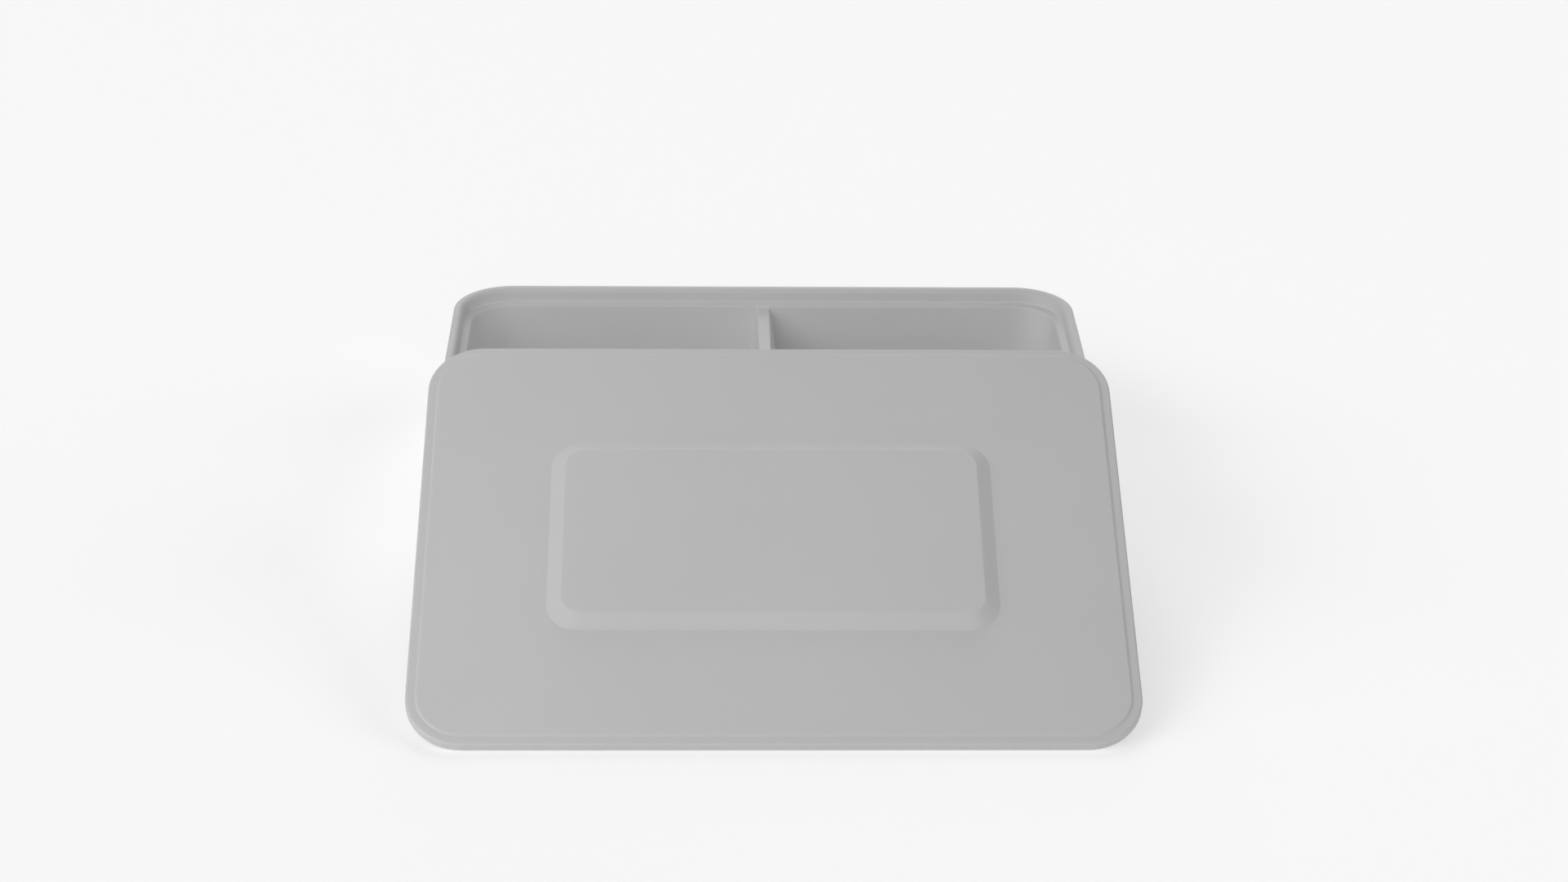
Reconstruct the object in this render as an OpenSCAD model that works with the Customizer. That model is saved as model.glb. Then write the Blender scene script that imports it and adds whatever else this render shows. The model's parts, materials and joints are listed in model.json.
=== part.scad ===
// Lunch box with two compartments and a lift-off lid.
// The tray stands on the table, with the origin under its centre. +X is to the right and +Y to the back.
// The lid leans on the tray's front rim, with its front edge on the table.
// Walls, rim, lid edge and seal are each one profile, swept round a rounded rectangle.

/* [Lid] */
// Width of the lid, left to right
lid_w = 230; // [200:1:260]
// Depth of the lid, front to back
lid_d = 162.5; // [145:0.5:190]
// Corner radius of the lid's outline
lid_corner_r = 18.4; // [17:0.1:21.4]
// Thickness of the lid's border
lid_t = 1.2; // [1:0.1:1.6]
// Distance from the lid's edge to the foot of the step up to the main face
border_w = 3.05; // [2.4:0.05:4]
// Height of the main face above the border
face_rise = 0.6; // [0.4:0.1:1]
// Height of the skirt round the lid's edge, from the border's top
skirt_h = 3.2; // [3:0.1:4]
// Thickness of the skirt
skirt_t = 0.5; // [0.4:0.05:0.8]
// Radius of the lid's top edge
lid_edge_r = 0.8; // [0.8:0.1:1.6]

/* [Raised panel] */
// Width of the raised panel at its foot
panel_w = 145; // [110:1:160]
// Depth of the raised panel at its foot
panel_d = 76.4; // [60:0.1:90]
// Corner radius of the raised panel at its foot
panel_corner_r = 10; // [7:0.5:14]
// Height of the raised panel above the main face
panel_h = 3; // [1.5:0.1:4]
// Width of the panel's sloping side, seen from above
panel_slope = 5; // [3:0.1:6]

/* [Tray] */
// Height of the tray's rim above the table
tray_h = 43.6; // [38:0.1:49]
// Corner radius of the tray's rim
tray_corner_r = 20.8; // [20.2:0.1:23.4]
// Thickness of the tray's shell
wall_t = 0.9; // [0.8:0.05:1]
// Gap between the lid's skirt and the tray's rim, along the straight sides
lid_gap = 0.1; // [0.05:0.05:0.2]
// Width of the rim, from its outer edge to the top of the step
rim_w = 3.4; // [3:0.1:3.6]
// Radius of the rim's inner edge, at the top of the step
rim_inner_r = 2; // [1.2:0.1:2.2]
// Depth of the step from the rim down to the ledge
step_h = 4.75; // [4:0.05:5.5]
// Slope of the ledge down towards the food, from level
ledge_slope = 12; // [4:1:16]
// Distance from the rim's outer edge to the point where the ledge rounds over into the wall
ledge_end = 5.6; // [5.3:0.1:6.3]
// Draft of the compartment walls, from upright
wall_draft = 8; // [4:0.5:12]
// Inside radius between the walls and the floor
floor_r = 4; // [2:0.5:5]

/* [Divider] */
// Distance from the rim down to the divider's crest
divider_drop = 6.2; // [6:0.1:9]
// Width of the divider's crest
divider_w = 4.6; // [3:0.1:8]
// Draft of the divider's sides, from upright
divider_draft = 8; // [3:0.2:9]
// Thickness of the webs inside the hollow divider
web_t = 3; // [1:0.5:6]
// Distance between the webs
web_pitch = 40; // [20:1:45]

/* [Plug and seal] */
// Distance from the lid's edge to the plug rib's outer face
plug_in = 5.7; // [5.6:0.1:6.3]
// Thickness of the plug rib
plug_t = 1.2; // [0.8:0.1:1.4]
// Thickness of the seal's band, without its lips
seal_band = 0.7; // [0.5:0.1:0.9]
// Distance that each seal lip stands out from the band
lip_out = 0.75; // [0.3:0.05:0.9]

/* [Pose] */
// Tilt of the leaning lid, from level
lid_tilt = 23.7; // [20:0.1:30]

/* [Hidden] */
$fn = 64;
shell_grey = [0.70, 0.70, 0.70];
seal_grey = [0.82, 0.82, 0.81];

// Tray: the rim's outline fits inside the lid's skirt, and the plug rib shares its corner centres
rim_inset = skirt_t + lid_gap;
tray_w = lid_w - 2 * rim_inset;
tray_d = lid_d - 2 * rim_inset;
plug_corner_r = tray_corner_r + rim_inset;
divider_h = tray_h - divider_drop;
step_draft = 6;
rim_outer_r = 0.4;
rim_lip_h = 1.8;

// Foot of the step: the ledge starts here and slopes down to the mouth of the compartments
foot_r = 0.6;
ledge_z = tray_h - step_h;
rim_in_x = tray_corner_r - rim_w + rim_inner_r * cos(step_draft);
foot_z = ledge_z + foot_r * cos(ledge_slope);
step_turn = (rim_inner_r + foot_r) / cos(step_draft);
step_run = (tray_h - rim_inner_r - foot_z) * tan(step_draft);
foot_x = rim_in_x - step_turn - step_run;

// Mouth: a small radius that turns the ledge into the wall
mouth_r = wall_t + 0.1;
ledge_in_x = tray_corner_r - ledge_end;
ledge_fall = (foot_x + foot_r * sin(ledge_slope) - ledge_in_x) * tan(ledge_slope);
mouth_x = ledge_in_x + mouth_r * sin(ledge_slope);
mouth_z = ledge_z - ledge_fall - mouth_r * cos(ledge_slope);
wall_top_x = mouth_x - mouth_r * cos(wall_draft);
wall_top_z = mouth_z + mouth_r * sin(wall_draft);
crest_turn = 0.6;

// Lid: heights are measured from the top of the border
lid_under = -lid_t;
panel_top = face_rise + panel_h;
bevel_w = 0.7;
skirt_edge_r = 0.3;
recess_inset = 1;

// Seal: it sits a hair clear of the rib and of the lid's underside
seal_clear = 0.03;
lip_h = 0.45;

// The leaning lid touches the table with its skirt and the front rim with its underside
stand_y = lid_d / 2 - skirt_edge_r;
stand_z = skirt_h - skirt_edge_r;
lean_z = stand_y * sin(lid_tilt) + stand_z * cos(lid_tilt) + skirt_edge_r;
touch_y = -tray_d / 2 + rim_outer_r;
touch_z = tray_h - rim_outer_r;
touch_clear = 0.02;
touch_gap = lid_t + rim_outer_r + touch_clear;
lean_y = touch_y - (touch_gap + (touch_z - lean_z) * cos(lid_tilt)) / sin(lid_tilt);

// Points on an arc round [x, z], from angle a0 to angle a1. A tight arc has fewer points.
function arc(x, z, r, a0, a1) =
    let (steps = max(1, min(6, round(8 * r))))
    [for (i = [0:steps]) let (a = a0 + (a1 - a0) * i / steps) [x + r * cos(a), z + r * sin(a)]];

function reversed(points) = [for (i = [len(points) - 1:-1:0]) points[i]];

// Sweeps a profile round a rounded rectangle. The profile's x is the distance outwards from the
// corner centres, so x = corner_r is the outline, and its y is height.
module swept(w, d, corner_r) {
    for (k = [0:3]) {
        across = (k % 2 == 0) ? w / 2 - corner_r : d / 2 - corner_r;
        along = (k % 2 == 0) ? d / 2 - corner_r : w / 2 - corner_r;
        rotate(90 * k) {
            translate([across, along, 0]) rotate([90, 0, 0]) linear_extrude(2 * along) children();
            translate([across, along, 0]) rotate_extrude(angle = 90) children();
        }
    }
}

// The rectangle between the corner centres, which closes a swept profile that reaches x = 0
module core(w, d, corner_r, z0, z1) {
    translate([corner_r - w / 2, corner_r - d / 2, z0]) cube([w - 2 * corner_r, d - 2 * corner_r, z1 - z0]);
}

// Where the food side of the wall is at height z, outwards from the corner centres
function wall_x(z) = wall_top_x - (wall_top_z - z) * tan(wall_draft);

// Where the rounding between the floor and the wall is centred, outwards from the corner centres
floor_x = wall_x(wall_t) - floor_r * (1 - sin(wall_draft)) / cos(wall_draft);

// The tray's shell as bends: [centre x, centre z, radius of the food side, start, end, side].
// Side is 1 where the food side is inside the bend, and -1 where it is outside.
tray_bends = [
    [floor_x, wall_t + floor_r, floor_r, -90, -wall_draft, 1],
    [mouth_x, mouth_z, mouth_r, 180 - wall_draft, 90 + ledge_slope, -1],
    [foot_x, foot_z, foot_r, ledge_slope - 90, -step_draft, 1],
    [rim_in_x, tray_h - rim_inner_r, rim_inner_r, 180 - step_draft, 90, -1],
];

// The rim's outer corner, at this depth below the shell's food side
function rim_corner(depth) =
    let (r = max(0.1, rim_outer_r - depth))
    arc(tray_corner_r - depth - r, tray_h - depth - r, r, 90, 0);

// Leaves out each point that repeats the one before it
function distinct(points) = [
    for (i = [0:len(points) - 1])
        if (i == 0 || norm(points[i] - points[max(0, i - 1)]) > 0.001) points[i]
];

// One face of the tray's shell: the food side at depth 0, or the outer side at depth wall_t
function tray_face(depth) = distinct(concat(
    [for (b = tray_bends) each arc(b[0], b[1], b[2] + b[5] * depth, b[3], b[4])],
    rim_corner(depth)
));

module tray_profile() {
    lip_z = tray_h - rim_lip_h;
    food_side = concat([[0, wall_t]], tray_face(0), [[tray_corner_r, lip_z]]);
    outer_side = concat([[0, 0]], tray_face(wall_t), [[tray_corner_r - wall_t, lip_z]]);
    polygon(concat(food_side, reversed(outer_side)));
}

// The end of a ridge: a line that follows the shell's food side, moved outwards by reach
function ridge_end(low_z, crest_z, reach) = [
    for (p = concat(
        [[floor_x, low_z]],
        arc(floor_x, wall_t + floor_r, floor_r, -90, -wall_draft),
        [[wall_x(crest_z), crest_z]]
    )) [p[0] + reach, p[1]]
];

// A ridge with drafted sides and a rounded crest, from the front wall to the back wall
module ridge(low_z, crest_z, crest_w, reach) {
    half_foot = crest_w / 2 + (crest_z - low_z) * tan(divider_draft);
    turn_x = crest_w / 2 - crest_turn;
    end_line = ridge_end(low_z, crest_z, reach);
    centre_y = tray_d / 2 - tray_corner_r;
    intersection() {
        rotate([90, 0, 0]) linear_extrude(tray_d, center = true)
            polygon(concat(
                [[-half_foot, low_z], [half_foot, low_z]],
                arc(turn_x, crest_z - crest_turn, crest_turn, divider_draft, 90),
                arc(-turn_x, crest_z - crest_turn, crest_turn, 90, 180 - divider_draft)
            ));
        rotate([90, 0, 90]) linear_extrude(4 * half_foot, center = true)
            polygon(concat(
                [for (p = end_line) [p[0] + centre_y, p[1]]],
                [for (p = reversed(end_line)) [-p[0] - centre_y, p[1]]]
            ));
    }
}

// The hollow under the divider, open below and crossed by webs that end level with the base
module divider_hollow() {
    below = 1;
    difference() {
        ridge(-below, divider_h - wall_t, divider_w - 2 * wall_t, -wall_t);
        for (k = [-1:1])
            translate([-tray_w / 2, k * web_pitch - web_t / 2, -below])
                cube([tray_w, web_t, tray_h]);
    }
}

module tray() {
    color(shell_grey)
    difference() {
        union() {
            swept(tray_w, tray_d, tray_corner_r) tray_profile();
            core(tray_w, tray_d, tray_corner_r, 0, wall_t);
            ridge(wall_t / 2, divider_h, divider_w, wall_t / 2);
        }
        divider_hollow();
    }
}

// Moves a part drawn round the lid's own centre to the leaning lid's place
module leaning() {
    translate([0, lean_y, lean_z]) rotate([lid_tilt, 0, 0]) children();
}

module lid_profile() {
    r = lid_corner_r;
    foot_in = r - skirt_t;
    polygon(concat(
        [[0, lid_under], [foot_in, lid_under], [foot_in, skirt_edge_r - skirt_h]],
        [[foot_in + skirt_edge_r / 2, -skirt_h]],
        arc(r - skirt_edge_r, skirt_edge_r - skirt_h, skirt_edge_r, -90, 0),
        arc(r - lid_edge_r, -lid_edge_r, lid_edge_r, 0, 90),
        [[r - border_w, 0], [r - border_w - bevel_w, face_rise], [0, face_rise]]
    ));
}

// The raised panel as a solid block, or as the hollow below it
module panel_block(inset, z0, z1) {
    w = panel_w - 2 * inset;
    d = panel_d - 2 * inset;
    r = panel_corner_r - inset;
    swept(w, d, r) polygon([[0, z0], [r, z0], [r - panel_slope, z1], [0, z1]]);
    core(w, d, r, z0, z1);
}

module plug_profile() {
    outer = plug_corner_r - plug_in;
    inner = outer - plug_t;
    chamfer = plug_t / 4;
    polygon([
        [inner, lid_under],
        [inner, chamfer - skirt_h],
        [inner + chamfer, -skirt_h],
        [outer - chamfer, -skirt_h],
        [outer, chamfer - skirt_h],
        [outer, lid_under],
    ]);
}

module lid() {
    color(shell_grey)
    leaning()
    difference() {
        union() {
            swept(lid_w, lid_d, lid_corner_r) lid_profile();
            core(lid_w, lid_d, lid_corner_r, lid_under, face_rise);
            panel_block(0, face_rise, panel_top);
            swept(lid_w, lid_d, plug_corner_r) plug_profile();
        }
        panel_block(recess_inset, lid_under, panel_top - face_rise - lid_t);
    }
}

// A band with two lips that point outwards and up, so the lid pushes in more easily than it pulls out
module seal_profile() {
    inner = plug_corner_r - plug_in + seal_clear;
    outer = inner + seal_band;
    top = lid_under - seal_clear;
    bottom = lip_h / 2 - skirt_h;
    pitch = (top - bottom) / 2;
    lips = [for (k = [0:1]) let (z = bottom + k * pitch) each [
        [outer, z],
        [outer + lip_out, z + lip_h],
        [outer + lip_out, z + 1.5 * lip_h],
        [outer, z + lip_h],
    ]];
    polygon(concat([[inner, bottom]], lips, [[outer, top], [inner, top]]));
}

module lid_seal() {
    color(seal_grey)
    leaning()
    swept(lid_w, lid_d, plug_corner_r) seal_profile();
}

tray();
lid();
lid_seal();
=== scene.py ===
"""Looks for the two-compartment lunch box: smooth shells, soft seal, studio floor, lights and camera.

Geometry is worked out in millimetres and turned into metres when a mesh is made.
A profile is a list of (out, height) points, where out is the distance outwards from the corner
centres of a rounded rectangle. Sweeping it round the rectangle gives loops of points, and
lofting the loops gives a mesh of four-sided faces.
"""

import json
import math

import bmesh
import bpy
import numpy as np
from mathutils import Matrix, Vector


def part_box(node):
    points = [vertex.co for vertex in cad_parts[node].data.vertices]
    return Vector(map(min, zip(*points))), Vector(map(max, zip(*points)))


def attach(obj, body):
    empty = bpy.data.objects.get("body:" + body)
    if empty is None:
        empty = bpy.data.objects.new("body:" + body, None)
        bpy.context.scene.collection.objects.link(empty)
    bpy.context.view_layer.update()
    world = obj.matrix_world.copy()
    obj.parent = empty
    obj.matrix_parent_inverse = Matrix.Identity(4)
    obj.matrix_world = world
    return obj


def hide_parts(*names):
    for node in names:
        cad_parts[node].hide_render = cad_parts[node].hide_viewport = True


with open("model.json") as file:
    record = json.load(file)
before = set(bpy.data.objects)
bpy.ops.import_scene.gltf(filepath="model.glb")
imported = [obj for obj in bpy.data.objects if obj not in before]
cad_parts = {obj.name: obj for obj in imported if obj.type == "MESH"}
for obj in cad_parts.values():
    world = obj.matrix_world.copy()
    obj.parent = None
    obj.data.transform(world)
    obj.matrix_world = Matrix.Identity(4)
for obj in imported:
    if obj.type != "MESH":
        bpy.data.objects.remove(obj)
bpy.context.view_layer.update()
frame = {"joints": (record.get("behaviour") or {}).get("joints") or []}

MM = 0.001

# ---------------------------------------------------------------- sizes, in mm and degrees

# Tray sizes, as in the CAD part
WALL_T = 0.9
TRAY_CORNER_R = 20.8
RIM_W = 3.4
STEP_H = 4.75
STEP_DRAFT = 6
RIM_OUTER_R = 0.4
RIM_INNER_R = 2.0
RIM_LIP_H = 1.8
FOOT_R = 0.6
LEDGE_END = 5.6
LEDGE_SLOPE = 12
MOUTH_R = WALL_T + 0.1
WALL_DRAFT = 8
FLOOR_R = 4.0
DIVIDER_DROP = 6.2
DIVIDER_W = 4.6
DIVIDER_DRAFT = 8
CREST_TURN = 0.6
WEB_T = 3.0
WEB_PITCH = 40.0

# Lid sizes, with heights measured from the top of the lid's border
LID_T = 1.2
BORDER_W = 3.05
BEVEL_W = 0.7
FACE_RISE = 0.6
SKIRT_H = 3.2
SKIRT_T = 0.5
SKIRT_EDGE_R = 0.3
LID_EDGE_R = 0.8
LID_CORNER_R = 18.4
PANEL_W = 145.0
PANEL_D = 76.4
PANEL_CORNER_R = 10.0
PANEL_TOP_CORNER_R = 6.5
PANEL_H = 3.0
PANEL_SLOPE = 5.0
RECESS_INSET = 1.0
PLUG_IN = 5.7
PLUG_T = 1.2

# Small bends on the lid that the CAD part leaves sharp: how far each reaches, and its middle point
FOOT_BEND = 0.4
PLUG_BEND_MID = 0.1
SKIRT_BEND_MID = 0.12
STEP_BEND = 0.25
STEP_BEND_LOW = 0.04
STEP_BEND_HIGH = 0.05

# Seal sizes
SEAL_CLEAR = 0.03
SEAL_BAND = 0.7
LIP_OUT = 0.75
LIP_H = 0.45

# Places read from the frame
tray_low, tray_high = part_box("tray")
lid_low, lid_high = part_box("lid")
TRAY_H = tray_high.z / MM
TRAY_W = (tray_high.x - tray_low.x) / MM
TRAY_D = (tray_high.y - tray_low.y) / MM
LID_W = (lid_high.x - lid_low.x) / MM
LID_D = TRAY_D + LID_W - TRAY_W
PLUG_CORNER_R = TRAY_CORNER_R + (LID_W - TRAY_W) / 2
DIVIDER_H = TRAY_H - DIVIDER_DROP
lift_axis = next(j["axis"] for j in frame["joints"] if j["name"] == "lid_lift")
LID_TILT = math.atan2(-lift_axis[1], lift_axis[2])

# Corner centres that the tray, the plug rib and the seal share
CENTRE_X = TRAY_W / 2 - TRAY_CORNER_R
CENTRE_Y = TRAY_D / 2 - TRAY_CORNER_R

# How finely a loop is cut: half of a long side, a short side, and a corner
LONG_HALF = 14
SHORT = 16
CORNER = 14
ARC_STEPS = 8


# ---------------------------------------------------------------- profiles

def sin_deg(angle):
    return math.sin(math.radians(angle))


def cos_deg(angle):
    return math.cos(math.radians(angle))


def tan_deg(angle):
    return math.tan(math.radians(angle))


def arc(out, height, radius, start, end, steps=ARC_STEPS):
    """Points on an arc round (out, height), from one angle to another."""
    angles = [start + (end - start) * i / steps for i in range(steps + 1)]
    return [(out + radius * cos_deg(a), height + radius * sin_deg(a)) for a in angles]


def turn(centre, angle, gap):
    """The point at this distance from a centre, in this direction."""
    return (centre[0] + gap * cos_deg(angle), centre[1] + gap * sin_deg(angle))


def foot_centre():
    """Centre of the rounding between the rim's step and the ledge."""
    height = TRAY_H - STEP_H + FOOT_R * cos_deg(LEDGE_SLOPE)
    rim_in = TRAY_CORNER_R - RIM_W + RIM_INNER_R * cos_deg(STEP_DRAFT)
    step_turn = (RIM_INNER_R + FOOT_R) / cos_deg(STEP_DRAFT)
    step_run = (TRAY_H - RIM_INNER_R - height) * tan_deg(STEP_DRAFT)
    return rim_in - step_turn - step_run, height


def ledge_height(out):
    """Height of the sloping ledge at this distance out."""
    start = turn(foot_centre(), LEDGE_SLOPE - 90, FOOT_R)
    return start[1] - (start[0] - out) * tan_deg(LEDGE_SLOPE)


def mouth_centre():
    """Centre of the small rounding at the compartments' mouth."""
    edge = TRAY_CORNER_R - LEDGE_END
    return turn((edge, ledge_height(edge)), LEDGE_SLOPE - 90, MOUTH_R)


def wall_out(height):
    """How far out the food side of the wall is at this height."""
    top_out, top_z = turn(mouth_centre(), 180 - WALL_DRAFT, MOUTH_R)
    return top_out - (top_z - height) * tan_deg(WALL_DRAFT)


def floor_out():
    """How far out the flat floor ends."""
    return wall_out(WALL_T) - FLOOR_R * (1 - sin_deg(WALL_DRAFT)) / cos_deg(WALL_DRAFT)


def wall_bends():
    """The bends of a compartment's wall: (centre, food-side radius, start, end, side)."""
    return [
        ((floor_out(), WALL_T + FLOOR_R), FLOOR_R, -90, -WALL_DRAFT, 1),
        (mouth_centre(), MOUTH_R, 180 - WALL_DRAFT, 90 + LEDGE_SLOPE, -1),
    ]


def rim_bends():
    """The bends from the ledge out to the rim's edge, in the same form as wall_bends()."""
    rim_in = (TRAY_CORNER_R - RIM_W + RIM_INNER_R * cos_deg(STEP_DRAFT), TRAY_H - RIM_INNER_R)
    return [
        (foot_centre(), FOOT_R, LEDGE_SLOPE - 90, -STEP_DRAFT, 1),
        (rim_in, RIM_INNER_R, 180 - STEP_DRAFT, 90, -1),
    ]


def rim_corner(depth):
    """The rim's outer corner, at this depth below the shell's food side."""
    radius = max(0.1, RIM_OUTER_R - depth)
    return arc(TRAY_CORNER_R - depth - radius, TRAY_H - depth - radius, radius, 90, 0)


def shell_face(bends, depth, steps=ARC_STEPS):
    """Points along one face of the shell: the food side at depth 0, the outer side at WALL_T."""
    points = []
    for centre, radius, start, end, side in bends:
        bend = arc(*centre, radius + side * depth, start, end, steps)
        joined = points and math.dist(points[-1], bend[0]) < 1e-6
        points += bend[1:] if joined else bend
    return points


def divider_side(foot_z, steps=ARC_STEPS):
    """The divider's side as (distance from the middle, height), from its foot to its crest."""
    turn_x = DIVIDER_W / 2 - CREST_TURN
    crest = arc(turn_x, DIVIDER_H - CREST_TURN, CREST_TURN, DIVIDER_DRAFT, 90, steps)
    low_x, low_z = crest[0]
    foot_x = low_x + (low_z - foot_z) * tan_deg(DIVIDER_DRAFT)
    return [(foot_x, foot_z)] + crest + [(0.0, DIVIDER_H)]


# ---------------------------------------------------------------- loops and meshes

def outline(centre_x, centre_y, radius, height):
    """A rounded rectangle as points, from the middle of the front, anticlockwise from above."""
    corners = [(1, -1, -90), (1, 1, 0), (-1, 1, 90), (-1, -1, 180)]
    sides = [SHORT, 2 * LONG_HALF, SHORT, LONG_HALF]
    reach = centre_y + radius
    points = [(centre_x * i / LONG_HALF, -reach) for i in range(LONG_HALF)]
    for (sign_x, sign_y, start), side in zip(corners, sides):
        x, y = sign_x * centre_x, sign_y * centre_y
        points += arc(x, y, radius, start, start + 90, CORNER)[:-1]
        end_angle = start + 90
        begin = (x + radius * cos_deg(end_angle), y + radius * sin_deg(end_angle))
        along = (-sin_deg(end_angle), cos_deg(end_angle))
        full = 2 * (centre_y if side == SHORT else centre_x)
        length = full / 2 if side == LONG_HALF else full
        steps = [length * i / side for i in range(side)]
        points += [(begin[0] + along[0] * s, begin[1] + along[1] * s) for s in steps]
    return [(x, y, height) for x, y in points]


class Builder:
    """Collects loops of points into one mesh."""

    def __init__(self):
        self.mesh = bmesh.new()

    def points(self, coordinates):
        return [self.mesh.verts.new(Vector(p) * MM) for p in coordinates]

    def quads(self, lower, upper, closed=True):
        count = len(lower)
        for i in range(count if closed else count - 1):
            j = (i + 1) % count
            self.mesh.faces.new((lower[i], lower[j], upper[j], upper[i]))

    def loft(self, loops, closed=False):
        """Joins each loop to the next, and the last to the first if closed."""
        rings = [self.points(loop) for loop in loops]
        for lower, upper in zip(rings, rings[1:]):
            self.quads(lower, upper)
        if closed:
            self.quads(rings[-1], rings[0])
        return rings

    def cap(self, ring):
        self.mesh.faces.new(ring)

    def inset(self, ring, point, centre_x, centre_y, gap=2.0):
        """Adds a loop just inside a flat face's edge, so that a worn edge stays at the edge."""
        out, height = point
        inner = self.points(outline(centre_x, centre_y, out - gap, height))
        self.quads(ring, inner)
        return inner

    def sweep(self, profile, centre_x, centre_y, closed=False):
        loops = [outline(centre_x, centre_y, out, z) for out, z in profile]
        return self.loft(loops, closed)

    def finish(self, name, matrix=None):
        """Welds the mesh, turns its faces outwards and makes the object."""
        bmesh.ops.remove_doubles(self.mesh, verts=self.mesh.verts, dist=1e-7)
        bmesh.ops.recalc_face_normals(self.mesh, faces=self.mesh.faces)
        for face in self.mesh.faces:
            face.smooth = True
        data = bpy.data.meshes.new(name)
        self.mesh.to_mesh(data)
        self.mesh.free()
        if matrix is not None:
            data.transform(matrix)
        piece = bpy.data.objects.new(name, data)
        bpy.context.scene.collection.objects.link(piece)
        return piece


# ---------------------------------------------------------------- tray

BLEND_FLOOR = 3.0
BLEND_CREST = 0.6
BLEND_RISE = 8.0
FILLET_STEPS = 8
FLANK_STEPS = 24
WALL_ROWS = 12
CREST_ROWS = 16
SPLIT_Z = 33.0


def blend_radius(height):
    """Radius of the rounding between the divider and the shell, larger near the floor."""
    share = np.clip((height - WALL_T) / BLEND_RISE, 0, 1)
    return BLEND_CREST + (BLEND_FLOOR - BLEND_CREST) * (1 - share) ** 2


def signed_distance(points, outline_points):
    """Distance from each (a, b) to an open line of points, positive on its left side."""
    start = np.array(outline_points[:-1])
    step = np.array(outline_points[1:]) - start
    length_sq = (step ** 2).sum(1)
    offset = points[:, None, :] - start[None]
    share = np.clip((offset * step[None]).sum(2) / length_sq[None], 0, 1)
    gap = offset - share[..., None] * step[None]
    distance = np.sqrt((gap ** 2).sum(2))
    nearest = distance.argmin(1)
    row = np.arange(len(points))
    cross = step[nearest, 0] * gap[row, nearest, 1] - step[nearest, 1] * gap[row, nearest, 0]
    return distance[row, nearest] * np.sign(cross)


FINE = 48
FAR = 400.0
wall_line = [(-FAR, WALL_T)] + shell_face(wall_bends(), 0, FINE) + [(FAR, ledge_height(FAR))]
divider_line = [(-1.0, DIVIDER_H)] + divider_side(-FAR / 10, FINE)[::-1][1:]


def clearance(points):
    """How far each point is from the rounded union of shell and divider, positive in the air."""
    across = np.abs(points[:, 0])
    qx = across - CENTRE_X
    qy = np.abs(points[:, 1]) - CENTRE_Y
    corner = np.hypot(np.maximum(qx, 0), np.maximum(qy, 0))
    out = np.where((qx > 0) & (qy > 0), corner, np.maximum(qx, qy))
    height = points[:, 2]
    to_wall = signed_distance(np.column_stack([out, height]), wall_line)
    to_divider = signed_distance(np.column_stack([across, height]), divider_line)
    radius = blend_radius(height)
    pull = np.hypot(np.maximum(radius - to_wall, 0), np.maximum(radius - to_divider, 0))
    return np.maximum(radius, np.minimum(to_wall, to_divider)) - pull


def settle(points, steps=6):
    """Moves points onto the surface where clearance is zero, along its slope."""
    nudge = 0.005
    points = points.copy()
    for _ in range(steps):
        value = clearance(points)
        slope = np.zeros_like(points)
        for axis in range(3):
            shift = np.zeros(3)
            shift[axis] = nudge
            slope[:, axis] = (clearance(points + shift) - clearance(points - shift)) / (2 * nudge)
        points -= slope * (value / np.maximum((slope ** 2).sum(1), 1e-6))[:, None]
    return points


def evenly(points, count):
    """The same line with this many steps of even length."""
    points = np.array(points)
    run = np.concatenate([[0], np.cumsum(np.hypot(*np.diff(points, axis=0).T))])
    at = np.linspace(0, run[-1], count + 1)
    return np.column_stack([np.interp(at, run, points[:, k]) for k in range(2)])


def curve(points, knots, counts):
    """Cuts a line at these heights and makes even steps in each stretch."""
    points = np.array(points)
    rows = [points[:1]]
    heights = points[:, 1]
    for low, high, count in zip(knots, knots[1:], counts):
        inside = (heights > low + 1e-9) & (heights < high - 1e-9)
        ends = [np.interp(z, heights, points[:, 0]) for z in (low, high)]
        stretch = np.vstack([[ends[0], low], points[inside], [ends[1], high]])
        rows.append(evenly(stretch, count)[1:])
    return np.vstack(rows)


def tub_curves():
    """Matching rows of points up a compartment's wall and up the divider's side."""
    wall = shell_face(wall_bends(), 0, FINE)
    side = divider_side(0, FINE)
    foot_x = side[0][0]
    slope = tan_deg(DIVIDER_DRAFT)
    bend_z = WALL_T + BLEND_FLOOR
    bend_x = foot_x - bend_z * slope + BLEND_FLOOR / cos_deg(DIVIDER_DRAFT)
    flank = arc(bend_x, bend_z, BLEND_FLOOR, 270, 180 + DIVIDER_DRAFT, FINE) + side[1:-1]
    wall_turn = WALL_T + FLOOR_R * (1 - sin_deg(WALL_DRAFT))
    flank_turn = bend_z - BLEND_FLOOR * sin_deg(DIVIDER_DRAFT)
    counts = [ARC_STEPS, WALL_ROWS, CREST_ROWS]
    wall_rows = curve(wall, [WALL_T, wall_turn, SPLIT_Z, wall[-1][1]], counts)
    counts = [ARC_STEPS, WALL_ROWS, CREST_ROWS - 1]
    flank_rows = curve(flank, [WALL_T, flank_turn, SPLIT_Z, DIVIDER_H], counts)
    return wall_rows, np.vstack([flank_rows, [0.0, DIVIDER_H]])


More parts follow.
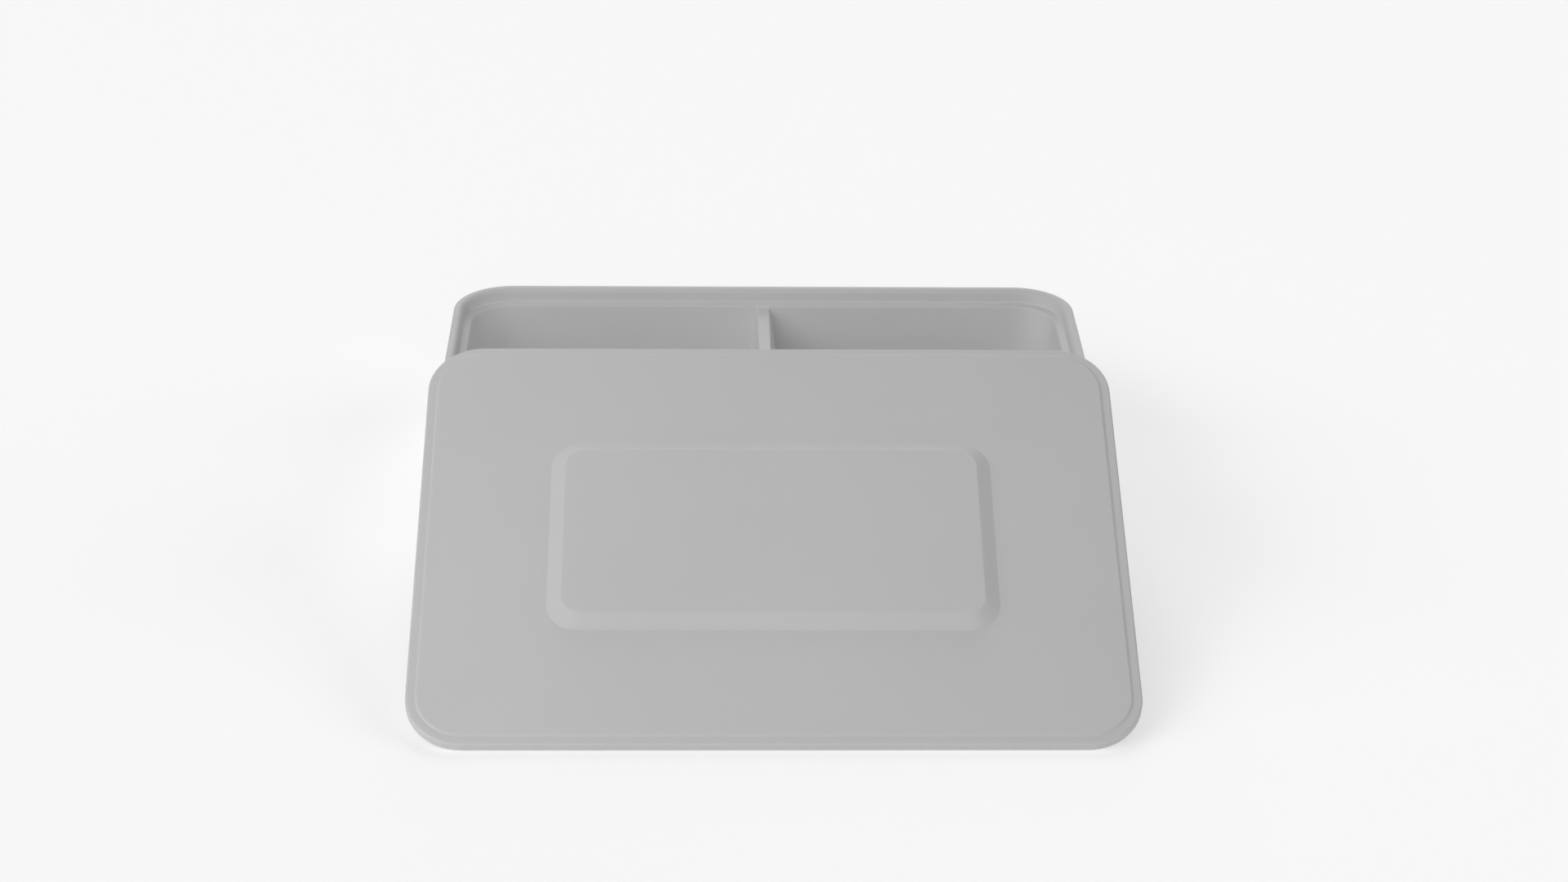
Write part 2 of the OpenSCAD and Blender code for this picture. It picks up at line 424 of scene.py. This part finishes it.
def tub_row(wall, flank, fillet):
    """One closed loop of the right-hand compartment, from the front's inner end, anticlockwise."""
    (out, wall_z), (inner_x, flank_z) = wall, flank
    whole = np.array(outline(CENTRE_X, CENTRE_Y, out, wall_z))
    half = whole[:2 * LONG_HALF + 2 * CORNER + SHORT + 1].copy()
    start_x = inner_x + fillet
    ramp = np.arange(LONG_HALF + 1) / LONG_HALF
    half[:LONG_HALF + 1, 0] = start_x + (CENTRE_X - start_x) * ramp
    half[-LONG_HALF - 1:, 0] = half[:LONG_HALF + 1, 0][::-1]
    corner_y = CENTRE_Y + min(out, wall_out(flank_z)) if flank_z > SPLIT_Z else CENTRE_Y + out
    end_y = corner_y - max(fillet, BLEND_CREST)
    t = (np.arange(1, FILLET_STEPS + 1) / FILLET_STEPS)[:, None]
    begin = np.array([start_x, CENTRE_Y + out, wall_z])
    knee = np.array([inner_x, corner_y, flank_z])
    end = np.array([inner_x, end_y, flank_z])
    back = (1 - t) ** 2 * begin + 2 * t * (1 - t) * knee + t ** 2 * end
    ys = np.linspace(end_y, -end_y, FLANK_STEPS + 1)[1:]
    divider = np.column_stack([np.full(len(ys), inner_x), ys, np.full(len(ys), flank_z)])
    front = back[:-1][::-1] * [1, -1, 1]
    return np.vstack([half, back, divider, front])


def tub_rows():
    """All loops of the right-hand compartment, from the floor's edge up to the ledge and crest."""
    wall_rows, flank_rows = tub_curves()
    count = len(wall_rows)
    rows = []
    for i in range(count):
        height = flank_rows[i][1]
        fillet = float(blend_radius(height)) * min(1.0, (i + 1) / ARC_STEPS)
        left = (count - 1 - i) / CREST_ROWS
        rows.append(tub_row(wall_rows[i], flank_rows[i], fillet * min(1.0, left)))
    rows = np.array(rows)
    on_wall = 2 * LONG_HALF + 2 * CORNER + SHORT + 1
    shape = rows[1:].shape
    rows[1:] = settle(rows[1:].reshape(-1, 3)).reshape(shape)
    top = np.array(outline(CENTRE_X, CENTRE_Y, wall_rows[-1][0], wall_rows[-1][1]))
    rows[-1][:on_wall] = top[:on_wall]
    rows[-1][on_wall:, 0] = 0.0
    return rows


def pocket_loops(y_low, y_high, open_low, open_high):
    """Loops of one hollow under the divider, flared at its foot and rounded at its top.

    An open end follows the drafted end wall.
    """
    top_z = DIVIDER_H - WALL_T
    lip = 0.5
    heights = [-1.0, 0.0, lip * 0.3, lip, 6.0, 20.0, top_z - 1.2, top_z - 0.3, top_z]
    flare = [lip, lip, lip * 0.25, 0, 0, 0, 0, 0, 0]
    shrink = [0, 0, 0, 0, 0, 0, 0, 0.35, 1.0]
    loops = []
    for z, extra, less in zip(heights, flare, shrink):
        level = max(z, 0)
        half = DIVIDER_W / 2 - WALL_T + (top_z - level) * tan_deg(DIVIDER_DRAFT)
        reach = CENTRE_Y + min(wall_out(max(level, WALL_T + FLOOR_R)), floor_out() + level)
        low = (-reach + WALL_T if open_low else y_low) - extra + less
        high = (reach - WALL_T if open_high else y_high) + extra - less
        half_x = half + extra - less * 0.8
        radius = min(1.0, half_x * 0.8)
        mid, half_y = (low + high) / 2, (high - low) / 2
        loops.append([
            (x, y + mid, z)
            for x, y, _ in outline(half_x - radius, half_y - radius, radius, 0)
        ])
    return loops


def cut_pockets(piece):
    """Cuts the hollows under the divider, leaving the webs between them."""
    edges = [-WEB_PITCH * 1.5, -WEB_PITCH, 0, WEB_PITCH, WEB_PITCH * 1.5]
    for k in range(4):
        low = edges[k] + WEB_T / 2
        high = edges[k + 1] - WEB_T / 2
        cutter = Builder()
        rings = cutter.loft(pocket_loops(low, high, k == 0, k == 3))
        cutter.cap(rings[0])
        cutter.cap(rings[-1])
        tool = cutter.finish("pocket_cutter")
        modifier = piece.modifiers.new("pocket", "BOOLEAN")
        modifier.operation = "DIFFERENCE"
        modifier.solver = "EXACT"
        modifier.object = tool
        apply_modifiers(piece)
        bpy.data.objects.remove(tool)


def apply_modifiers(piece):
    """Bakes the modifiers of a piece into its mesh."""
    bpy.context.view_layer.update()
    graph = bpy.context.evaluated_depsgraph_get()
    baked = bpy.data.meshes.new_from_object(piece.evaluated_get(graph))
    old = piece.data
    piece.modifiers.clear()
    piece.data = baked
    baked.name = old.name
    bpy.data.meshes.remove(old)


def make_tray():
    build = Builder()
    outer = shell_face(wall_bends() + rim_bends(), WALL_T) + rim_corner(WALL_T)
    rim_in = shell_face(rim_bends(), 0) + rim_corner(0)
    lip_z = TRAY_H - RIM_LIP_H
    lip_r = WALL_T / 2
    lip = arc(TRAY_CORNER_R - lip_r, lip_z + lip_r, lip_r, 180, 360)
    ledge_out = TRAY_CORNER_R - LEDGE_END
    profile = outer + lip + rim_in[::-1] + [(ledge_out, ledge_height(ledge_out))]
    rings = build.sweep(profile, CENTRE_X, CENTRE_Y)
    build.cap(build.inset(rings[0], profile[0], CENTRE_X, CENTRE_Y))
    rows = tub_rows()
    for side in (1, -1):
        tub = build.loft([row * [side, 1, 1] for row in rows])
        build.cap(tub[0])
    piece = build.finish("tray_shell")
    cut_pockets(piece)
    return piece


# ---------------------------------------------------------------- lid and seal

def lid_matrix():
    """Where the leaning lid's own frame is, from the lid's box and its tilt."""
    edge_y = (LID_D / 2 - LID_EDGE_R) * math.cos(LID_TILT)
    edge = LID_EDGE_R * math.sin(LID_TILT) - LID_EDGE_R
    lean_y = lid_low.y / MM + edge_y - edge
    foot_y = LID_D / 2 - SKIRT_EDGE_R
    foot_z = SKIRT_H - SKIRT_EDGE_R
    lean_z = foot_y * math.sin(LID_TILT) + foot_z * math.cos(LID_TILT) + SKIRT_EDGE_R
    place = Matrix.Translation(Vector((0, lean_y, lean_z)) * MM)
    return place @ Matrix.Rotation(LID_TILT, 4, "X")


def panel_loops(inset, foot_z, top_z):
    """Loops up the side of the raised panel, rounded at its foot and at its top."""
    rise = top_z - foot_z
    steps = 16
    loops = []
    for i in range(steps + 1):
        t = i / steps
        ease = t * t * (3 - 2 * t)
        share = 0.3 * t + 0.7 * ease
        height = foot_z + rise * (0.1 * t + 0.9 * ease)
        half_x = PANEL_W / 2 - inset - PANEL_SLOPE * share
        half_y = PANEL_D / 2 - inset - PANEL_SLOPE * share
        radius = PANEL_CORNER_R + (PANEL_TOP_CORNER_R - PANEL_CORNER_R) * share
        loops.append(outline(half_x - radius, half_y - radius, radius, height))
    return loops


def plug_rib():
    """The plug rib's profile, from its inner foot on the lid's underside to its outer foot."""
    outer = PLUG_CORNER_R - PLUG_IN
    inner = outer - PLUG_T
    round_r = PLUG_T / 4
    mid = PLUG_BEND_MID
    inside = [(inner - FOOT_BEND, -LID_T), (inner - mid, -LID_T - mid), (inner, -LID_T - FOOT_BEND)]
    inside += arc(inner + round_r, round_r - SKIRT_H, round_r, 180, 270, 4)
    outside = arc(outer - round_r, round_r - SKIRT_H, round_r, -90, 0, 4)
    outside += [(outer, -LID_T - FOOT_BEND), (outer + mid, -LID_T - mid), (outer + FOOT_BEND, -LID_T)]
    return inside + outside


def lid_edge():
    """The lid's edge, from its underside beside the skirt, round the skirt and up to the main face."""
    out = LID_CORNER_R
    skirt_in = out - SKIRT_T
    round_r = SKIRT_T / 3
    mid = SKIRT_BEND_MID
    under = [(skirt_in - FOOT_BEND, -LID_T), (skirt_in - mid, -LID_T - mid), (skirt_in, -LID_T - FOOT_BEND)]
    foot = [(skirt_in, round_r - SKIRT_H), (skirt_in + round_r, -SKIRT_H)]
    foot += arc(out - SKIRT_EDGE_R, SKIRT_EDGE_R - SKIRT_H, SKIRT_EDGE_R, -90, 0)
    rim = arc(out - LID_EDGE_R, -LID_EDGE_R, LID_EDGE_R, 0, 90)
    border_in = out - BORDER_W
    face_out = border_in - BEVEL_W
    step = [(border_in + STEP_BEND, 0), (border_in, STEP_BEND_LOW)]
    step += [(face_out + STEP_BEND, FACE_RISE - STEP_BEND_HIGH)]
    face = [(face_out, FACE_RISE), (face_out - FOOT_BEND, FACE_RISE)]
    return under + foot + rim + step + face


def make_lid():
    build = Builder()
    path_x = LID_W / 2 - LID_CORNER_R
    path_y = LID_D / 2 - LID_CORNER_R
    loops = [outline(CENTRE_X, CENTRE_Y, out, z) for out, z in plug_rib()]
    loops += [outline(path_x, path_y, out, z) for out, z in lid_edge()]
    loops += panel_loops(0, FACE_RISE, FACE_RISE + PANEL_H)
    top_r = PANEL_TOP_CORNER_R
    half_x = PANEL_W / 2 - PANEL_SLOPE - top_r
    half_y = PANEL_D / 2 - PANEL_SLOPE - top_r
    rings = build.loft(loops)
    build.cap(build.inset(rings[-1], (top_r, FACE_RISE + PANEL_H), half_x, half_y))
    recess = panel_loops(RECESS_INSET, -LID_T, PANEL_H - LID_T)
    hollow = build.loft([loops[0]] + recess)
    build.cap(hollow[-1])
    return build.finish("lid_shell", lid_matrix())


def make_seal():
    build = Builder()
    inner = PLUG_CORNER_R - PLUG_IN + SEAL_CLEAR
    outer = inner + SEAL_BAND
    top = -LID_T - SEAL_CLEAR
    bottom = LIP_H / 2 - SKIRT_H
    pitch = (top - bottom) / 2
    edge = 0.12
    profile = [(inner, top - edge), (inner, bottom + edge), (inner + edge, bottom)]
    for k in range(2):
        z = bottom + k * pitch
        tip = (outer + LIP_OUT - edge, z + 1.25 * LIP_H)
        profile += [(outer, z), (outer + LIP_OUT * 0.5, z + LIP_H * 0.5)]
        profile += arc(tip[0], tip[1], edge, -50, 90, 4)
        profile += [(outer + LIP_OUT * 0.4, z + 1.2 * LIP_H), (outer, z + LIP_H)]
    profile += [(outer, top - edge), (outer - edge, top), (inner + edge, top)]
    build.sweep(profile, CENTRE_X, CENTRE_Y, closed=True)
    return build.finish("lid_seal_ring", lid_matrix())


# ---------------------------------------------------------------- surface detail

SHORTEST_EDGE = 0.0002


def mark_edges(piece):
    """Stores how convex the surface is at each point, so that a material can wear the edges."""
    mesh = bmesh.new()
    mesh.from_mesh(piece.data)
    values = []
    for vertex in mesh.verts:
        bend = 0.0
        for edge in vertex.link_edges:
            if len(edge.link_faces) == 2:
                bend += edge.calc_face_angle_signed(0.0) / max(edge.calc_length(), SHORTEST_EDGE)
        values.append(min(max(bend * MM / 2, 0.0), 1.0))
    mesh.free()
    attribute = piece.data.attributes.new("edge_wear", "FLOAT", "POINT")
    attribute.data.foreach_set("value", values)


class Nodes:
    """A small helper that adds and joins shader nodes."""

    def __init__(self, name):
        self.material = bpy.data.materials.new(name)
        self.material.use_nodes = True
        self.tree = self.material.node_tree
        self.tree.nodes.clear()

    def add(self, kind, **settings):
        node = self.tree.nodes.new(kind)
        for key, value in settings.items():
            if key in node.inputs:
                node.inputs[key].default_value = value
            else:
                setattr(node, key, value)
        return node

    def join(self, source, target):
        self.tree.links.new(source, target)

    def noise(self, place, scale, detail=3.0):
        node = self.add("ShaderNodeTexNoise", Scale=scale, Detail=detail)
        self.join(place.outputs["Object"], node.inputs["Vector"])
        return node.outputs["Fac"]

    def ramp(self, source, low, high, out_low, out_high, clamp=True):
        node = self.add("ShaderNodeMapRange", clamp=clamp)
        limits = (("From Min", low), ("From Max", high), ("To Min", out_low), ("To Max", out_high))
        for key, value in limits:
            node.inputs[key].default_value = value
        self.join(source, node.inputs["Value"])
        return node.outputs["Result"]

    def sum_of(self, first, second, operation="ADD"):
        node = self.add("ShaderNodeMath", operation=operation)
        self.join(first, node.inputs[0])
        self.join(second, node.inputs[1])
        return node.outputs[0]


def moulded_plastic(name, tint, grain, rough, wear):
    """Matte moulded plastic: fine grain, slow colour drift, and edges rubbed paler and smoother."""
    nodes = Nodes(name)
    place = nodes.add("ShaderNodeTexCoord")
    worn = nodes.add("ShaderNodeAttribute", attribute_name="edge_wear").outputs["Fac"]
    drift = nodes.noise(place, 14.0)
    grain_noise = nodes.noise(place, grain, 2.0)
    patchy = nodes.ramp(nodes.noise(place, 220.0), 0.35, 0.7, 0.0, 1.0)
    rubbed = nodes.sum_of(worn, patchy, "MULTIPLY")

    shade = nodes.sum_of(nodes.ramp(drift, 0.3, 0.7, 0.985, 1.01), nodes.ramp(rubbed, 0, 1, 0, wear))
    colour = nodes.add("ShaderNodeMix", data_type="RGBA", blend_type="MULTIPLY")
    colour.inputs[0].default_value = 1.0
    colour.inputs[6].default_value = (*tint, 1)
    grey = nodes.add("ShaderNodeCombineColor")
    for channel in ("Red", "Green", "Blue"):
        nodes.join(shade, grey.inputs[channel])
    nodes.join(grey.outputs["Color"], colour.inputs[7])

    rough_noise = nodes.ramp(nodes.noise(place, 90.0), 0.3, 0.7, rough - 0.04, rough + 0.04)
    rough_value = nodes.sum_of(rough_noise, nodes.ramp(rubbed, 0, 1, 0, 0.12), "SUBTRACT")
    bump = nodes.add("ShaderNodeBump", Strength=0.25, Distance=0.00006)
    nodes.join(grain_noise, bump.inputs["Height"])

    surface = nodes.add("ShaderNodeBsdfPrincipled")
    surface.inputs["Specular IOR Level"].default_value = 0.3
    nodes.join(colour.outputs[2], surface.inputs["Base Color"])
    nodes.join(rough_value, surface.inputs["Roughness"])
    nodes.join(bump.outputs["Normal"], surface.inputs["Normal"])
    output = nodes.add("ShaderNodeOutputMaterial")
    nodes.join(surface.outputs["BSDF"], output.inputs["Surface"])
    return nodes.material


def dress(piece, body, cad_node, material):
    """Gives a finished piece its material, even normals, and its place in the frame."""
    mark_edges(piece)
    piece.data.materials.clear()
    piece.data.materials.append(material)
    modifier = piece.modifiers.new("even_normals", "WEIGHTED_NORMAL")
    modifier.weight = 50
    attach(piece, body)
    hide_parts(cad_node)


# ---------------------------------------------------------------- studio

# Floor: its size and drop in metres, its own light, and the light it throws back at the object
FLOOR_REACH = 12.0
FLOOR_DROP = 0.0001
FLOOR_ALBEDO = 0.85
FLOOR_GLOW = 0.56
FLOOR_BOUNCE = 0.16

# Lamps: sides are (azimuth, elevation) in degrees, distances in metres and power in watts
LAMP_AIM = Vector((0, -0.05, 0.03))
BOX_SIDE = (45, 40)
BOX_AWAY = 0.9
BOX_SIZE = 0.7
BOX_SPREAD = BOX_SIZE ** 2 / (2 * math.pi)
BOX_POWER = 2.59
WIDE_ELEVATION = 30
WIDE_ANGLE = 40
WIDE_AWAY = 2.0
WIDE_LAMPS = {"front": (0, 0.18), "left": (90, 0.185), "back": (180, 0.32), "right": (270, 0.19)}

# Camera: its lens in mm, its place in metres and its turns in radians
CAMERA_LENS = 71.49
CAMERA_SENSOR = 36.0
CAMERA_PLACE = (-0.0228, -0.99093, 0.51599)
CAMERA_YAW = -0.029357
CAMERA_PITCH = 0.464662
CAMERA_ROLL = 0.015293


def toward(azimuth, elevation):
    """A direction from the table. Azimuth 0 is in front, and 90 is to the left."""
    level = cos_deg(elevation)
    return Vector((-sin_deg(azimuth) * level, -cos_deg(azimuth) * level, sin_deg(elevation)))


def box_share(nodes):
    """How brightly the soft box lights each point of the floor, allowing for the box's own size."""
    axis = toward(*BOX_SIDE)
    place = LAMP_AIM + axis * BOX_AWAY
    ray = nodes.add("ShaderNodeVectorMath", operation="SUBTRACT")
    nodes.join(nodes.add("ShaderNodeNewGeometry").outputs["Position"], ray.inputs[0])
    ray.inputs[1].default_value = place
    along = nodes.add("ShaderNodeVectorMath", operation="DOT_PRODUCT")
    nodes.join(ray.outputs[0], along.inputs[0])
    along.inputs[1].default_value = -axis * FLOOR_ALBEDO * BOX_POWER * place.z / math.pi ** 2
    square = nodes.add("ShaderNodeVectorMath", operation="DOT_PRODUCT")
    nodes.join(ray.outputs[0], square.inputs[0])
    nodes.join(ray.outputs[0], square.inputs[1])
    spread = nodes.ramp(square.outputs["Value"], 0, 1, BOX_SPREAD, 1 + BOX_SPREAD, clamp=False)
    fourth = nodes.sum_of(spread, spread, "MULTIPLY")
    return nodes.sum_of(along.outputs["Value"], fourth, "DIVIDE")


def floor_glow(nodes):
    """The floor's own light: the camera sees an even floor, whatever the near soft box adds to it."""
    level = nodes.ramp(box_share(nodes), 0, 1, FLOOR_GLOW, FLOOR_GLOW - 1)
    path = nodes.add("ShaderNodeLightPath")
    pick = nodes.add("ShaderNodeMix", data_type="FLOAT")
    pick.inputs["A"].default_value = FLOOR_BOUNCE
    nodes.join(level, pick.inputs["B"])
    nodes.join(path.outputs["Is Camera Ray"], pick.inputs["Factor"])
    return pick.outputs["Result"]


def make_floor():
    size = FLOOR_REACH
    data = bpy.data.meshes.new("floor")
    corners = [(-size, -size, 0), (size, -size, 0), (size, size, 0), (-size, size, 0)]
    data.from_pydata(corners, [], [(0, 1, 2, 3)])
    floor = bpy.data.objects.new("floor", data)
    floor.location.z = -FLOOR_DROP
    bpy.context.scene.collection.objects.link(floor)
    nodes = Nodes("floor_paper")
    diffuse = nodes.add("ShaderNodeBsdfDiffuse", Color=(FLOOR_ALBEDO,) * 3 + (1,))
    glow = nodes.add("ShaderNodeEmission")
    nodes.join(floor_glow(nodes), glow.inputs["Strength"])
    both = nodes.add("ShaderNodeAddShader")
    output = nodes.add("ShaderNodeOutputMaterial")
    nodes.join(diffuse.outputs[0], both.inputs[0])
    nodes.join(glow.outputs[0], both.inputs[1])
    nodes.join(both.outputs[0], output.inputs["Surface"])
    data.materials.append(nodes.material)


def aim(lamp, side, distance):
    """Puts a lamp on one side of the table and turns it towards the table."""
    lamp.location = LAMP_AIM + toward(*side) * distance
    lamp.rotation_euler = toward(*side).to_track_quat("Z", "Y").to_euler()
    bpy.context.scene.collection.objects.link(lamp)


def make_lights():
    """A soft box near the front left, and a wide lamp from each of the four sides."""
    box = bpy.data.lights.new("soft_box", "AREA")
    box.shape = "SQUARE"
    box.size = BOX_SIZE
    box.energy = BOX_POWER
    aim(bpy.data.objects.new("soft_box", box), BOX_SIDE, BOX_AWAY)
    for name, (azimuth, strength) in WIDE_LAMPS.items():
        lamp = bpy.data.lights.new(name, "SUN")
        lamp.angle = math.radians(WIDE_ANGLE)
        lamp.energy = strength * math.pi
        aim(bpy.data.objects.new(name, lamp), (azimuth, WIDE_ELEVATION), WIDE_AWAY)
    world = bpy.data.worlds.new("studio")
    world.use_nodes = True
    world.node_tree.nodes["Background"].inputs["Strength"].default_value = 0.0
    bpy.context.scene.world = world


def make_camera():
    """The camera stands in front of the box, a little to the left, and looks down at it."""
    data = bpy.data.cameras.new("camera")
    data.lens = CAMERA_LENS
    data.sensor_width = CAMERA_SENSOR
    camera = bpy.data.objects.new("camera", data)
    look = Matrix.Rotation(CAMERA_YAW, 4, "Z") @ Matrix.Rotation(math.pi / 2 - CAMERA_PITCH, 4, "X")
    place = Matrix.Translation(CAMERA_PLACE)
    camera.matrix_world = place @ look @ Matrix.Rotation(CAMERA_ROLL, 4, "Z")
    bpy.context.scene.collection.objects.link(camera)
    bpy.context.scene.camera = camera


shell_plastic = moulded_plastic("shell_plastic", (0.75, 0.75, 0.75), 2600.0, 0.62, 0.05)
seal_rubber = moulded_plastic("seal_rubber", (0.78, 0.78, 0.77), 3400.0, 0.5, 0.02)

dress(make_tray(), "tray", "tray", shell_plastic)
dress(make_lid(), "lid", "lid", shell_plastic)
dress(make_seal(), "lid", "lid_seal", seal_rubber)

make_floor()
make_lights()
make_camera()
bpy.context.scene.view_settings.view_transform = "Standard"
